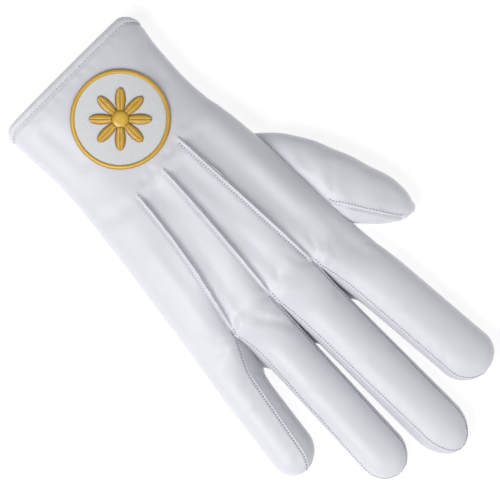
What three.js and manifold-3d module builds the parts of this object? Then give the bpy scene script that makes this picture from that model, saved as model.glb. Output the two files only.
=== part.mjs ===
// White parade glove for the right hand, lying palm down, in millimetres.
// +Y runs to the fingers, +Z is up from the surface that the palm rests on.
import * as THREE from "three";
import { mergeVertices } from "three/addons/utils/BufferGeometryUtils.js";
import Module from "manifold-3d";

const wasm = await Module();
wasm.setup();

// Driving sizes
const gloveLength = 250;
const palmWidth = 97;
const palmHeight = 28;
const fingerHeight = 19;
const leather = 1.2;
const seamGap = 0.36;
const cuffY = -gloveLength / 2;

// Turns a table's shares into millimetres: places and sizes along the glove are shares of its length,
// those across it of the palm's width, and heights of the height given
const crosswise = ["left", "right", "width", "rootX", "tipX", "backX", "palmX", "startX", "outX", "inX"];
const lengthwise = ["y", "tipY", "cap", "backY", "palmY", "startY", "outY", "inY"];
function sized(row, height) {
  const entries = Object.entries(row).map(([key, value]) => {
    if (crosswise.includes(key)) return [key, value * palmWidth];
    if (lengthwise.includes(key)) return [key, value * gloveLength];
    return [key, key === "height" ? value * height : value];
  });
  return Object.fromEntries(entries);
}

// The fingers, from the index finger: tipY is the tip's place, width and height the plump tube's,
// rootX and tipX the axis at the root and the tip, cap the rounded end's length, and seamL and
// seamR the places of the back's two seams as shares of the half width
const rootY = 0.16 * gloveLength;
const fingers = [
  { name: "index", tipY: 0.4328, width: 0.2722, height: 0.9737, rootX: -0.2905, tipX: -0.3465,
    cap: 0.048, seamL: -0.8, seamR: 0.82 },
  { name: "middle", tipY: 0.5, width: 0.2557, height: 1, rootX: -0.0085, tipX: -0.0105,
    cap: 0.064, seamL: -0.92, seamR: 0.8 },
  { name: "ring", tipY: 0.4528, width: 0.2371, height: 0.9737, rootX: 0.2485, tipX: 0.2785,
    cap: 0.05, seamL: -0.92, seamR: 0.9 },
  { name: "little", tipY: 0.3288, width: 0.2268, height: 0.8947, rootX: 0.5255, tipX: 0.583,
    cap: 0.044, seamL: -0.5, seamR: 0.8 },
].map((row) => sized(row, fingerHeight));

// The crotches between neighbouring fingers: backX and backY where the slit ends on the back,
// palmX and palmY where the web meets the palm, and the raised point's start on the hand's back
const crotches = [
  { name: "index_middle", backX: -0.1402, backY: 0.08, palmX: -0.1361, palmY: 0.164, startX: -0.0959,
    startY: -0.272 },
  { name: "middle_ring", backX: 0.1196, backY: 0.068, palmX: 0.1309, palmY: 0.176, startX: 0.0566,
    startY: -0.25 },
  { name: "ring_little", backX: 0.3711, backY: 0.064, palmX: 0.3876, palmY: 0.14, startX: 0.2261,
    startY: -0.25 },
].map((row) => sized(row, 1));
const sideBackY = { left: 0.104 * gloveLength, right: 0.08 * gloveLength };
const sidePalmY = { left: 0.152 * gloveLength, right: 0.116 * gloveLength };

// The hand's sections from the cuff: y, the left and right sides and the height
const handSections = [
  { y: -0.5, left: -0.3567, right: 0.4763, height: 0.8214 },
  { y: -0.448, left: -0.3392, right: 0.468, height: 0.8214 },
  { y: -0.328, left: -0.3196, right: 0.4639, height: 0.8393 },
  { y: -0.22, left: -0.3546, right: 0.4938, height: 0.9286 },
  { y: -0.1, left: -0.3794, right: 0.5361, height: 1 },
  { y: -0.02, left: -0.3876, right: 0.5649, height: 1 },
  { y: 0.06, left: -0.3959, right: 0.5969, height: 0.8571 },
  { y: 0.128, left: -0.4103, right: 0.6278, height: 0.7321 },
  { y: 0.2, left: -0.4289, right: 0.6557, height: 0.6786 },
  { y: 0.28, left: -0.4474, right: 0.6866, height: 0.6429 },
].map((row) => sized(row, palmHeight));
const widestShare = 0.44;
const blend = 0.08 * gloveLength;
const valleyLength = 0.136 * gloveLength;
const valleyDepth = 0.15 * palmHeight;

// The cuff: how far its edge runs back round the sides, and how far it's drawn in under its binding
const cuffCorner = { left: 6.5, right: 4.5 };
const cuffInset = 1.1;
const bindingWide = 4.4;
const bindingThick = 1;
const bindingClear = 0.45;

// The raised points on the back
const pointHeight = 1.5;
const pointHalf = 0.9;
const pointDip = 0.9;

// The thumb, chord by chord from the hole in the hand's side: the outer and the inner end of each
// section as x and y, and its height
const thumbChords = [
  { outX: -0.2577, outY: -0.14, inX: -0.2474, inY: 0.008, height: 0.4737 },
  { outX: -0.3402, outY: -0.18, inX: -0.3402, inY: 0.044, height: 0.7368 },
  { outX: -0.4495, outY: -0.146, inX: -0.3814, inY: 0.0568, height: 0.9211 },
  { outX: -0.5299, outY: -0.098, inX: -0.4, inY: 0.0688, height: 0.9737 },
  { outX: -0.5907, outY: -0.046, inX: -0.4268, inY: 0.0816, height: 0.9737 },
  { outX: -0.6371, outY: 0.006, inX: -0.4598, inY: 0.0956, height: 0.9579 },
  { outX: -0.6711, outY: 0.048, inX: -0.501, inY: 0.11, height: 0.9053 },
  { outX: -0.6845, outY: 0.08, inX: -0.5485, inY: 0.1236, height: 0.8 },
  { outX: -0.6825, outY: 0.1, inX: -0.5907, inY: 0.1308, height: 0.68 },
  { outX: -0.6701, outY: 0.1168, inX: -0.6247, inY: 0.1324, height: 0.52 },
].map((row) => sized(row, fingerHeight));
const thumbCap = { tipX: -0.6577 * palmWidth, tipY: 0.1304 * gloveLength, z: 0.28 * fingerHeight };
const thumbFloor = 0.6;

// The round badge on the wrist
const badge = { x: 0.034 * palmWidth, y: -0.3648 * gloveLength, radius: 22.8, ring: 1.9 };
const petals = 8;

const clamp = (v, a, b) => Math.min(Math.max(v, a), b);
const mix = (a, b, t) => a + (b - a) * t;
const smooth = (t) => {
  const c = clamp(t, 0, 1);
  return c * c * (3 - 2 * c);
};

// A value of the hand's sections at y, by a cubic through the rows
function handAt(key, y) {
  const rows = handSections;
  const last = rows.length - 1;
  const v = clamp(y, rows[0].y, rows[last].y);
  let i = 0;
  while (i < last - 1 && v > rows[i + 1].y) i += 1;
  const slope = (j) => {
    const a = rows[Math.max(j - 1, 0)];
    const b = rows[Math.min(j + 1, last)];
    return (b[key] - a[key]) / (b.y - a.y);
  };
  const wide = rows[i + 1].y - rows[i].y;
  const t = (v - rows[i].y) / wide;
  const a = (1 + 2 * t) * (1 - t) ** 2 * rows[i][key] + t * (1 - t) ** 2 * wide * slope(i);
  return a + t * t * (3 - 2 * t) * rows[i + 1][key] - t * t * (1 - t) * wide * slope(i + 1);
}

// A section's outline: height of the upper side at the share p of the half width, and of the under
// side, which is flat over the middle and rounded over the rest
const upperRise = (p, power) => (1 - Math.min(Math.abs(p), 1) ** power) ** (1 / power);
function underRise(p, flat) {
  const q = clamp((Math.abs(p) - flat) / (1 - flat), 0, 1);
  return 1 - Math.sqrt(1 - q * q);
}

// A point on a section's side: t runs from the upper seam at share p0 to the under seam at p1
function sidePoint(side, p0, p1, t, power, flat) {
  const turn = 0.52;
  if (t <= turn) {
    const from = Math.acos(Math.min(Math.abs(p0), 1) ** (power / 2));
    const angle = from * (1 - t / turn);
    return { p: side * Math.cos(angle) ** (2 / power), up: Math.sin(angle) ** (2 / power), down: 0 };
  }
  const q = clamp((p1 - flat) / (1 - flat), 0, 1);
  const angle = mix(Math.PI / 2, Math.asin(q), (t - turn) / (1 - turn));
  return { p: side * (flat + (1 - flat) * Math.sin(angle)), up: 0, down: 1 - Math.cos(angle) };
}

const handPower = 2.5;
const handFlat = 0.72;
const handSeam = 0.9;
const fingerPower = 2.15;
const fingerFlat = 0.4;
const underSeam = 0.62;

// The long lines between the fingers' groups on the hand: the raised points run along the upper ones
function handLine(k, y, under) {
  const left = handAt("left", y);
  const right = handAt("right", y);
  const centre = (left + right) / 2;
  const half = (right - left) / 2;
  if (k === 0) return centre - handSeam * half;
  if (k === 4) return centre + handSeam * half;
  const c = crotches[k - 1];
  const endX = under ? c.palmX : c.backX;
  const endY = under ? c.palmY : c.backY;
  return mix(c.startX, endX, (Math.min(y, endY) - c.startY) / (endY - c.startY));
}

// Where the slits and the hand's sides end the hand's rows, for the line k of the upper or under side
function rootLine(k, under) {
  if (k === 0) return under ? sidePalmY.left : sideBackY.left;
  if (k === 4) return under ? sidePalmY.right : sideBackY.right;
  return under ? crotches[k - 1].palmY : crotches[k - 1].backY;
}

function fingerAxis(f, y) {
  return mix(f.rootX, f.tipX, (y - rootY) / (f.tipY - rootY));
}

// A point of the outer skin. place is { k, u, part } with part upper, under, left or right, and row
// is { t } for the hand, { s } for a finger up to its shoulder, and { cap } for its rounded end.
function skin(place, row) {
  const { k, part } = place;
  const under = part === "under";
  const f = fingers[k];
  const centreX = (y) => (handAt("left", y) + handAt("right", y)) / 2;
  const halfX = (y) => (handAt("right", y) - handAt("left", y)) / 2;
  const shoulderY = f.tipY - f.cap;
  const side = part === "left" ? -1 : 1;
  const line = part === "left" ? k : k + 1;
  const share = place.u;
  let endY;
  if (part === "upper" || under) endY = mix(rootLine(k, under), rootLine(k + 1, under), share);
  else endY = mix(rootLine(line, false), rootLine(line, true), share);
  let y;
  if (row.t !== undefined) y = mix(cuffY, endY, row.t);
  else if (row.s !== undefined) y = mix(endY, shoulderY, row.s);
  else y = shoulderY;
  const onSide = part === "left" || part === "right";
  const outer = onSide && (line === 0 || line === 4);

  // the hand's own surface at this y
  const h = handAt("height", y);
  const mid = widestShare * h;
  const surface = (kk, uu, isUnder) => {
    const x0 = handLine(kk, y, isUnder);
    const x1 = handLine(kk + 1, y, isUnder);
    const x = mix(x0, x1, uu);
    const p = (x - centreX(y)) / halfX(y);
    const end = mix(rootLine(kk, isUnder), rootLine(kk + 1, isUnder), uu);
    const edge = Math.abs(2 * uu - 1) ** 3;
    const inner = (uu < 0.5 && kk > 0) || (uu > 0.5 && kk < 3) ? 1 : 0;
    const valley = valleyDepth * smooth((y - end + valleyLength) / valleyLength) * edge * inner;
    if (isUnder) return { x, z: mid * underRise(p, handFlat) + 0.35 * valley };
    return { x, z: mid + (h - mid) * upperRise(p, handPower) - valley };
  };
  let hand;
  if (!onSide) {
    hand = surface(k, share, under);
    if (!under) hand.z += raised(hand.x, y);
  } else if (outer) {
    const q = sidePoint(side, handSeam, handSeam, share, handPower, handFlat);
    const z = share <= 0.52 ? mid + (h - mid) * q.up : mid * q.down;
    hand = { x: centreX(y) + halfX(y) * q.p, z };
  } else {
    const a = surface(k, part === "left" ? 0 : 1, false);
    const b = surface(k, part === "left" ? 0 : 1, true);
    hand = { x: mix(a.x, b.x, share), z: mix(a.z, b.z, share) };
  }

  let pos = hand;
  if (row.t === undefined) {
    const radial = row.cap !== undefined ? Math.cos(row.cap) : 1;
    const away = row.cap !== undefined ? Math.sin(row.cap) : 0;
    const a = f.width / 2;
    const fh = f.height * (1 - 0.1 * smooth((y - rootY) / (f.tipY - rootY)));
    const fm = widestShare * fh;
    let p;
    let z;
    if (!onSide) {
      const seams = under ? underSeams(k) : [f.seamL, f.seamR];
      p = mix(seams[0], seams[1], share);
      z = under ? fm * underRise(p, fingerFlat) : fm + (fh - fm) * upperRise(p, fingerPower);
    } else {
      const top = side < 0 ? f.seamL : f.seamR;
      const low = underSeams(k)[side < 0 ? 0 : 1];
      const q = sidePoint(side, Math.abs(top), Math.abs(low), share, fingerPower, fingerFlat);
      p = q.p;
      z = share <= 0.52 ? fm + (fh - fm) * q.up : fm * q.down;
    }
    const lift = fm + 0.12 * fh * away * away;
    const axis = fingerAxis(f, y + f.cap * away);
    const finger = { x: axis + a * radial * p, z: lift + (z - fm) * radial };
    const reach = clamp((y - endY) / blend, 0, 1);
    const spread = 1 - (1 - reach) ** 2.2;
    pos = { x: mix(hand.x, finger.x, spread), z: mix(hand.z, finger.z, smooth(reach)) };
    y += f.cap * away;
  }
  return new THREE.Vector3(pos.x, y, Math.max(pos.z, 0));
}

function underSeams(k) {
  return [k === 0 ? -0.8 : -underSeam, k === 3 ? 0.8 : underSeam];
}

// The raised points' height at x, y: a narrow crest with a shallow dip on its thumb side
function raised(x, y) {
  let z = 0;
  crotches.forEach((c, i) => {
    const d = x - handLine(i + 1, y, false);
    const along = smooth((y - c.startY) / 5) * smooth((c.backY - 3 - y) / 6);
    const crest = pointHeight * (1 - smooth((Math.abs(d) - 0.35) / 1.9));
    const dip = pointDip * Math.exp(-(((d + 2.6) / 1.7) ** 2));
    z += along * (crest - dip);
  });
  return z;
}

// The columns across one finger's upper group: near a seam they stand at set distances from it
function upperShares(k) {
  const wide = handLine(k + 1, -20, false) - handLine(k, -20, false);
  const near = pointHalf / wide;
  const far = 2.4 / wide;
  return [0, near, far, 0.36, 0.64, 1 - far, 1 - near, 1];
}
const underShares = [0, 0.12, 0.5, 0.88, 1];
const sideShares = [0, 0.26, 0.52, 0.76, 1];

const handRows = [0, 0.035, 0.056, 0.09, 0.15, 0.23, 0.31, 0.38, 0.44, 0.52, 0.6, 0.68, 0.76, 0.84,
  0.91, 0.96, 1].map((t) => ({ t }));
const fingerRows = [0, 0.035, 0.09, 0.17, 0.28, 0.46, 0.64, 0.82, 1].map((s) => ({ s }));
const capRows = [30, 55, 77].map((d) => ({ cap: (d * Math.PI) / 180 }));

// Quads of the whole outer skin, each with the piece that it belongs to
const quads = [];
const cuffParts = { upper: [], right: [], under: [], left: [] };
function sheet(piece, places, rows, flip) {
  const grid = rows.map((row) => places.map((place) => skin(place, row)));
  for (let j = 0; j + 1 < grid.length; j += 1) {
    for (let i = 0; i + 1 < places.length; i += 1) {
      const q = [grid[j][i], grid[j][i + 1], grid[j + 1][i + 1], grid[j + 1][i]];
      quads.push({ piece, corners: flip ? q.reverse() : q });
    }
  }
  return grid;
}

fingers.forEach((f, k) => {
  const upper = upperShares(k).map((u) => ({ k, u, part: "upper" }));
  const under = underShares.map((u) => ({ k, u, part: "under" }));
  const left = sideShares.map((u) => ({ k, u, part: "left" }));
  const right = sideShares.map((u) => ({ k, u, part: "right" }));
  cuffParts.upper.push(...sheet("trank", upper, handRows, false)[0]);
  cuffParts.under.push(...sheet("trank", under, handRows, true)[0]);
  if (k === 0) cuffParts.left = sheet("trank", left, handRows, true)[0];
  if (k === 3) cuffParts.right = sheet("trank", right, handRows, false)[0];
  const rows = [...fingerRows, ...capRows];
  const leftPiece = k === 0 ? "trank" : `fourchette_${crotches[k - 1].name}`;
  const rightPiece = k === 3 ? "trank" : `fourchette_${crotches[k].name}`;
  const rings = [
    sheet("trank", upper, rows, false),
    sheet(rightPiece, right, rows, false),
    sheet("trank", under, rows, true),
    sheet(leftPiece, left, rows, true),
  ];
  const last = rings.map((grid) => grid[grid.length - 1]);
  const loop = [...last[0].slice(0, -1), ...last[1].slice(0, -1),
    ...last[2].slice().reverse().slice(0, -1), ...last[3].slice().reverse().slice(0, -1)];
  const pole = loop.reduce((s, v) => s.add(v), new THREE.Vector3()).divideScalar(loop.length);
  pole.y = f.tipY;
  loop.forEach((v, i) => {
    quads.push({ piece: "trank", corners: [v, loop[(i + 1) % loop.length], pole] });
  });
});

// The cuff's edge runs back round each side, so that its corners are rounded as seen from above, and
// its last millimetres are drawn in for the binding to lie over them
function trimCuff(v) {
  const left = handAt("left", v.y);
  const right = handAt("right", v.y);
  const away = smooth(1 - (v.y - cuffY) / 26);
  const inset = Math.max(0, left + cuffCorner.left - v.x) / cuffCorner.left;
  const outset = Math.max(0, v.x - right + cuffCorner.right) / cuffCorner.right;
  const back = cuffCorner.left * (1 - Math.sqrt(1 - Math.min(inset, 1) ** 2))
    + cuffCorner.right * (1 - Math.sqrt(1 - Math.min(outset, 1) ** 2));
  const near = smooth((bindingWide + 4.1 - (v.y - cuffY)) / 3.4);
  const high = clamp(v.z / handAt("height", v.y), 0, 1);
  const p = clamp((2 * v.x - left - right) / (right - left), -1, 1);
  const x = v.x - near * cuffInset * Math.sign(p) * smooth(Math.abs(p));
  const up = near * mix(bindingThick + bindingClear + 0.05, -cuffInset, high);
  return new THREE.Vector3(x, v.y + away * back, v.z + up);
}

// Welded points with their normals
const points = new Map();
function pointOf(v) {
  const t = trimCuff(v);
  const key = `${Math.round(t.x * 2000)},${Math.round(t.y * 2000)},${Math.round(t.z * 2000)}`;
  if (!points.has(key)) {
    points.set(key, { id: points.size, at: t, normal: new THREE.Vector3() });
  }
  return points.get(key);
}
quads.forEach((q) => {
  q.points = q.corners.map(pointOf).filter((p, i, all) => p !== all[(i + 1) % all.length]);
});
const faces = quads.filter((q) => q.points.length > 2);
faces.forEach((q) => {
  const [a, b, c, d] = q.points.map((p) => p.at);
  const e = new THREE.Vector3().subVectors(c, a);
  const g = new THREE.Vector3().subVectors(d ?? c, b);
  q.normal = new THREE.Vector3().crossVectors(e, g);
  if (!d) q.normal.crossVectors(new THREE.Vector3().subVectors(b, a), e);
  q.points.forEach((p, i) => {
    const u = new THREE.Vector3().subVectors(q.points[(i + 1) % q.points.length].at, p.at).normalize();
    const n = q.points.length;
    const w = new THREE.Vector3().subVectors(q.points[(i + n - 1) % n].at, p.at).normalize();
    p.normal.addScaledVector(q.normal.clone().normalize(), Math.acos(clamp(u.dot(w), -1, 1)));
  });
});
points.forEach((p) => p.normal.normalize());

// The cuff's loop of points, once round from the upper left
const cuffLoop = [...cuffParts.upper, ...cuffParts.right, ...cuffParts.under.reverse(),
  ...cuffParts.left.reverse()].map(pointOf).filter((p, i, all) => p !== all[(i + 1) % all.length]);
const cuffIds = new Set(cuffLoop.map((p) => p.id));
faces.forEach((q) => {
  const n = q.points.length;
  q.points.forEach((p, i) => {
    [q.points[(i + 1) % n], q.points[(i + n - 1) % n]].forEach((r) => {
      if (cuffIds.has(p.id) && !cuffIds.has(r.id)) p.next = r;
    });
  });
});

// A place and normal on the leather's outer face, at a distance from the cuff's end
function nearCuff(p, distance) {
  const share = distance / p.at.distanceTo(p.next.at);
  return { at: p.at.clone().lerp(p.next.at, share), normal: p.normal.clone().lerp(p.next.normal, share) };
}

// A closed body from some of the skin's faces: an outer face, an inner face the wall's thickness
// further in, and a rim. The rim stands back from the next piece by half of the seam's gap.
const atCuff = bindingThick + bindingClear;
function panel(name, wall = leather, back = seamGap / 2) {
  const mine = faces.filter((q) => q.piece === name);
  const edges = new Map();
  mine.forEach((q) => {
    const n = q.points.length;
    q.points.forEach((p, i) => {
      const r = q.points[(i + 1) % n];
      const other = `${r.id},${p.id}`;
      if (edges.has(other)) edges.delete(other);
      else edges.set(`${p.id},${r.id}`, [p, r]);
    });
  });
  const pull = new Map();
  edges.forEach(([p, r]) => {
    const along = new THREE.Vector3().subVectors(r.at, p.at).normalize();
    [p, r].forEach((v) => {
      const inward = new THREE.Vector3().crossVectors(v.normal, along);
      if (!pull.has(v.id)) pull.set(v.id, []);
      pull.get(v.id).push(inward.normalize());
    });
  });
  const shift = (p) => {
    const dirs = pull.get(p.id);
    if (!dirs) return new THREE.Vector3();
    const sum = dirs.reduce((s, d) => s.add(d), new THREE.Vector3()).normalize();
    const spread = Math.max(sum.dot(dirs[0]), 0.25);
    return sum.multiplyScalar(back / spread);
  };
  const ids = new Map();
  const xyz = [];
  const vertex = (p, inner) => {
    const key = `${p.id},${inner}`;
    if (!ids.has(key)) {
      const on = cuffIds.has(p.id) ? nearCuff(p, atCuff) : p;
      const v = on.at.clone().addScaledVector(on.normal, inner ? -wall : 0);
      if (on === p) v.add(shift(p));
      ids.set(key, xyz.length / 3);
      xyz.push(v.x, v.y, v.z);
    }
    return ids.get(key);
  };
  const index = [];
  mine.forEach((q) => {
    const outer = q.points.map((p) => vertex(p, 0));
    const inner = q.points.map((p) => vertex(p, 1));
    for (let i = 1; i + 1 < outer.length; i += 1) {
      index.push(outer[0], outer[i], outer[i + 1]);
      index.push(inner[0], inner[i + 1], inner[i]);
    }
  });
  edges.forEach(([p, r]) => {
    const [a, b, c, d] = [vertex(p, 0), vertex(r, 0), vertex(r, 1), vertex(p, 1)];
    index.push(b, a, d);
    index.push(b, d, c);
  });
  const geometry = new THREE.BufferGeometry();
  geometry.setAttribute("position", new THREE.Float32BufferAttribute(xyz, 3));
  geometry.setIndex(index);
  return geometry;
}

// A closed body through rings of points: each ring is joined to the next, and the ends are closed
// by a fan, or the last ring is joined to the first
function loft(rings, round = false) {
  const xyz = rings.flat().flatMap((v) => [v.x, v.y, v.z]);
  const n = rings[0].length;
  const index = [];
  const count = round ? rings.length : rings.length - 1;
  for (let j = 0; j < count; j += 1) {
    const next = (j + 1) % rings.length;
    for (let i = 0; i < n; i += 1) {
      const k = (i + 1) % n;
      index.push(j * n + i, j * n + k, next * n + k);
      index.push(j * n + i, next * n + k, next * n + i);
    }
  }
  if (!round) {
    [0, rings.length - 1].forEach((j, end) => {
      const c = rings[j].reduce((s, v) => s.add(v), new THREE.Vector3()).divideScalar(n);
      const id = xyz.length / 3;
      xyz.push(c.x, c.y, c.z);
      for (let i = 0; i < n; i += 1) {
        const pair = [j * n + i, j * n + ((i + 1) % n)];
        index.push(id, end ? pair[0] : pair[1], end ? pair[1] : pair[0]);
      }
    });
  }
  const geometry = new THREE.BufferGeometry();
  geometry.setAttribute("position", new THREE.Float32BufferAttribute(xyz, 3));
  geometry.setIndex(index);
  return geometry;
}

// Cuts and joins
function solid(geometry) {
  const g = mergeVertices(geometry, 1e-4);
  const mesh = new wasm.Mesh({
    numProp: 3,
    vertProperties: new Float32Array(g.attributes.position.array),
    triVerts: new Uint32Array(g.index.array),
  });
  return new wasm.Manifold(mesh);
}
function geometryOf(body) {
  const mesh = body.getMesh();
  const geometry = new THREE.BufferGeometry();
  const xyz = new Float32Array(mesh.vertProperties);
  geometry.setAttribute("position", new THREE.BufferAttribute(xyz, 3));
  geometry.setIndex([...mesh.triVerts]);
  return geometry;
}

// The thumb's sections: grow is how far a section stands outside the leather's outer face
function thumbRings(grow) {
  const curve = (a, b, c) => new THREE.CatmullRomCurve3(
    thumbChords.map((r) => new THREE.Vector3(r[a], r[b], c ? r[c] : 0)), false, "centripetal");
  const outer = curve("outX", "outY", "height");
  const inner = curve("inX", "inY");
  const rows = 13;
  const sides = 20;
  const ring = (o, i, radial, tip) => {
    const a = new THREE.Vector2(o.x, o.y);
    const b = new THREE.Vector2(i.x, i.y);
    const centre = a.clone().add(b).multiplyScalar(0.5);
    const along = b.clone().sub(a).normalize();
    const half = a.distanceTo(b) / 2 + grow;
    const top = thumbFloor + o.z + grow;
    const low = thumbFloor - grow;
    const mid = mix(low, top, 0.46);
    const list = [];
    for (let n = 0; n < sides; n += 1) {
      const t = -(2 * Math.PI * n) / sides;
      const c = Math.cos(t);
      const s = Math.sin(t);
      const d = Math.sign(c) * Math.abs(c) ** (2 / 2.3) * half * radial;
      const z = s > 0 ? (top - mid) * s ** (2 / 2.3) : (low - mid) * (-s) ** (2 / 2.6);
      const at = new THREE.Vector3(centre.x + along.x * d, centre.y + along.y * d, mid + z * radial);
      if (tip) at.add(tip);
      list.push(at);
    }
    return list;
  };
  const rings = [];
  for (let j = 0; j <= rows; j += 1) rings.push(ring(outer.getPoint(j / rows), inner.getPoint(j / rows), 1));
  const o = outer.getPoint(1);
  const i = inner.getPoint(1);
  const end = new THREE.Vector3((o.x + i.x) / 2, (o.y + i.y) / 2, thumbFloor + 0.46 * o.z);
  const goal = new THREE.Vector3(thumbCap.tipX, thumbCap.tipY, thumbCap.z);
  const way = goal.clone().sub(end);
  way.addScaledVector(way.clone().normalize(), grow);
  [30, 54, 73].forEach((deg) => {
    const angle = (deg * Math.PI) / 180;
    rings.push(ring(o, i, Math.cos(angle), way.clone().multiplyScalar(Math.sin(angle))));
  });
  return rings;
}
const thumbSolid = (grow) => solid(loft(thumbRings(grow)));

// The whole glove's inside as one solid, closed across the cuff
function insideSolid() {
  const at = [];
  points.forEach((p) => {
    at[p.id] = p.at.clone().addScaledVector(p.normal, -leather);
  });
  const xyz = at.flatMap((v) => [v.x, v.y, v.z]);
  const index = [];
  faces.forEach((q) => {
    for (let i = 1; i + 1 < q.points.length; i += 1) {
      index.push(q.points[0].id, q.points[i].id, q.points[i + 1].id);
    }
  });
  const c = cuffLoop.reduce((s, p) => s.add(p.at), new THREE.Vector3()).divideScalar(cuffLoop.length);
  xyz.push(c.x, c.y, c.z);
  cuffLoop.forEach((p, i) => index.push(at.length, cuffLoop[(i + 1) % cuffLoop.length].id, p.id));
  const geometry = new THREE.BufferGeometry();
  geometry.setAttribute("position", new THREE.Float32BufferAttribute(xyz, 3));
  geometry.setIndex(index);
  return solid(geometry);
}

const trank = geometryOf(solid(panel("trank")).subtract(thumbSolid(seamGap)));
const thumbShell = thumbSolid(0).subtract(thumbSolid(-leather));
const thumb = geometryOf(thumbShell.subtract(insideSolid()));

// The binding, a folded strip round the cuff's edge. Its section's columns: out from the leather's
// outer face, and along from the cuff's end.
const cover = bindingClear + bindingThick;
const bindingSection = [
  { out: bindingClear, along: bindingThick },
  { out: bindingClear, along: bindingWide },
  { out: cover - 0.35, along: bindingWide },
  { out: cover, along: bindingWide - 0.8 },
  { out: cover, along: 1 },
  { out: 0.4, along: 0 },
  { out: -leather - 0.4, along: 0 },
  { out: -leather - cover, along: 1 },
  { out: -leather - cover, along: bindingWide },
  { out: -leather - bindingClear, along: bindingWide },
  { out: -leather - bindingClear, along: bindingThick },
];
const bindingRings = cuffLoop.map((p) => bindingSection.map((c) => {
  const on = nearCuff(p, c.along);
  return on.at.addScaledVector(on.normal, c.out);
}));
const binding = loft(bindingRings, true);

// The badge lies on the back, so its heights are worked out from the leather under it
function backHeight(x, y) {
  const h = handAt("height", y);
  const mid = widestShare * h;
  const centre = (handAt("left", y) + handAt("right", y)) / 2;
  const half = (handAt("right", y) - handAt("left", y)) / 2;
  const at = trimCuff(new THREE.Vector3(x, y, 0));
  return mid + (h - mid) * upperRise((x - centre) / half, handPower) + at.z;
}
// A flat piece on the badge: outline is its radius at an angle, low and high its faces' heights
function slab(outline, shares, low, high, sides) {
  const rings = [];
  const point = (share, a, height) => {
    const r = outline(a) * share;
    const x = badge.x + r * Math.cos(a);
    const y = badge.y + r * Math.sin(a);
    return new THREE.Vector3(x, y, backHeight(x, y) + height(share, a));
  };
  const angles = Array.from({ length: sides }, (_, i) => (2 * Math.PI * i) / sides);
  shares.forEach((share) => rings.push(angles.map((a) => point(share, a, low))));
  [...shares].reverse().forEach((share) => rings.push(angles.map((a) => point(share, a, high))));
  return loft(rings);
}
const patchTop = seamGap + 0.7;
const patchRadius = badge.radius - badge.ring - seamGap;
const patch = slab(() => patchRadius, [0.05, 0.6, 0.97, 1], () => seamGap,
  (share) => (share > 0.98 ? patchTop - 0.25 : patchTop), 32);
const borderSection = [
  { r: 0, z: 0 },
  { r: badge.ring, z: 0 },
  { r: badge.ring * 0.85, z: 1.05 },
  { r: badge.ring * 0.5, z: 1.4 },
  { r: badge.ring * 0.15, z: 1.05 },
];
const border = loft(Array.from({ length: 36 }, (_, i) => {
  const a = -(2 * Math.PI * i) / 36;
  return borderSection.map((c) => {
    const r = badge.radius - badge.ring + c.r;
    const x = badge.x + r * Math.cos(a);
    const y = badge.y + r * Math.sin(a);
    return new THREE.Vector3(x, y, backHeight(x, y) + seamGap + c.z);
  });
}), true);
const petalOutline = (a) => badge.radius * (0.18 + 0.45 * Math.abs(Math.cos((petals * a) / 2)) ** 0.9);
const rosette = slab(petalOutline, [0.05, 0.5, 1], () => patchTop + seamGap,
  (share) => patchTop + seamGap + (share > 0.9 ? 0.35 : 0.8), 48);

const white = (roughness) => new THREE.MeshStandardMaterial({ color: 0xe6e6ea, roughness });
const gold = (roughness) => new THREE.MeshStandardMaterial({ color: 0xd4a337, roughness });
const group = new THREE.Group();
function add(name, geometry, material) {
  const mesh = new THREE.Mesh(geometry, material);
  mesh.name = name;
  group.add(mesh);
}
add("trank", trank, white(0.5));
crotches.forEach((c) => add(`fourchette_${c.name}`, panel(`fourchette_${c.name}`), white(0.55)));
add("thumb", thumb, white(0.5));
add("cuff_binding", binding, white(0.5));
add("badge_patch", patch, new THREE.MeshStandardMaterial({ color: 0xd8dadd, roughness: 0.7 }));
add("badge_border", border, gold(0.45));
add("badge_rosette", rosette, gold(0.45));

// The origin is the middle of the box's underside
const box = new THREE.Box3().setFromObject(group);
const centre = box.getCenter(new THREE.Vector3());
group.position.set(-centre.x, -centre.y, -box.min.z);

export default group;
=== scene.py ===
"""White parade glove for the right hand, lying on its palm: leather shell, stitching and badge."""
import math

import bpy
import numpy as np
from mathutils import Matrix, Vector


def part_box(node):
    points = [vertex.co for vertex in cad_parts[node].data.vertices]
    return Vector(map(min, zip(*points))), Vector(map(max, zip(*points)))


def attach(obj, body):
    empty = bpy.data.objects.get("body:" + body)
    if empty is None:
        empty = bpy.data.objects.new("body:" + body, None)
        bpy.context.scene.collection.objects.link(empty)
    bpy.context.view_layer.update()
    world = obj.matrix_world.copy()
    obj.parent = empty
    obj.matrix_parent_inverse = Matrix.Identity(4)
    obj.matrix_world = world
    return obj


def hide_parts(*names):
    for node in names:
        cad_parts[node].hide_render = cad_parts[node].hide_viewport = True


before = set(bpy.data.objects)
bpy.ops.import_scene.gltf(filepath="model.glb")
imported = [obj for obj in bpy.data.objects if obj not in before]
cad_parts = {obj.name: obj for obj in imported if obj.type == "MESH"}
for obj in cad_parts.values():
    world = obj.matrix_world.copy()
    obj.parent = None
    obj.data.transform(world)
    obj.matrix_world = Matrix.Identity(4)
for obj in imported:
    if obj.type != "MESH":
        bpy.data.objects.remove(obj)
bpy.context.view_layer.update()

MM = 0.001

# Driving sizes, in millimetres
GLOVE_LENGTH = 250.0
PALM_WIDTH = 97.0
PALM_HEIGHT = 28.0
FINGER_HEIGHT = 19.0
LEATHER = 1.2
CUFF_Y = -GLOVE_LENGTH / 2
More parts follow.
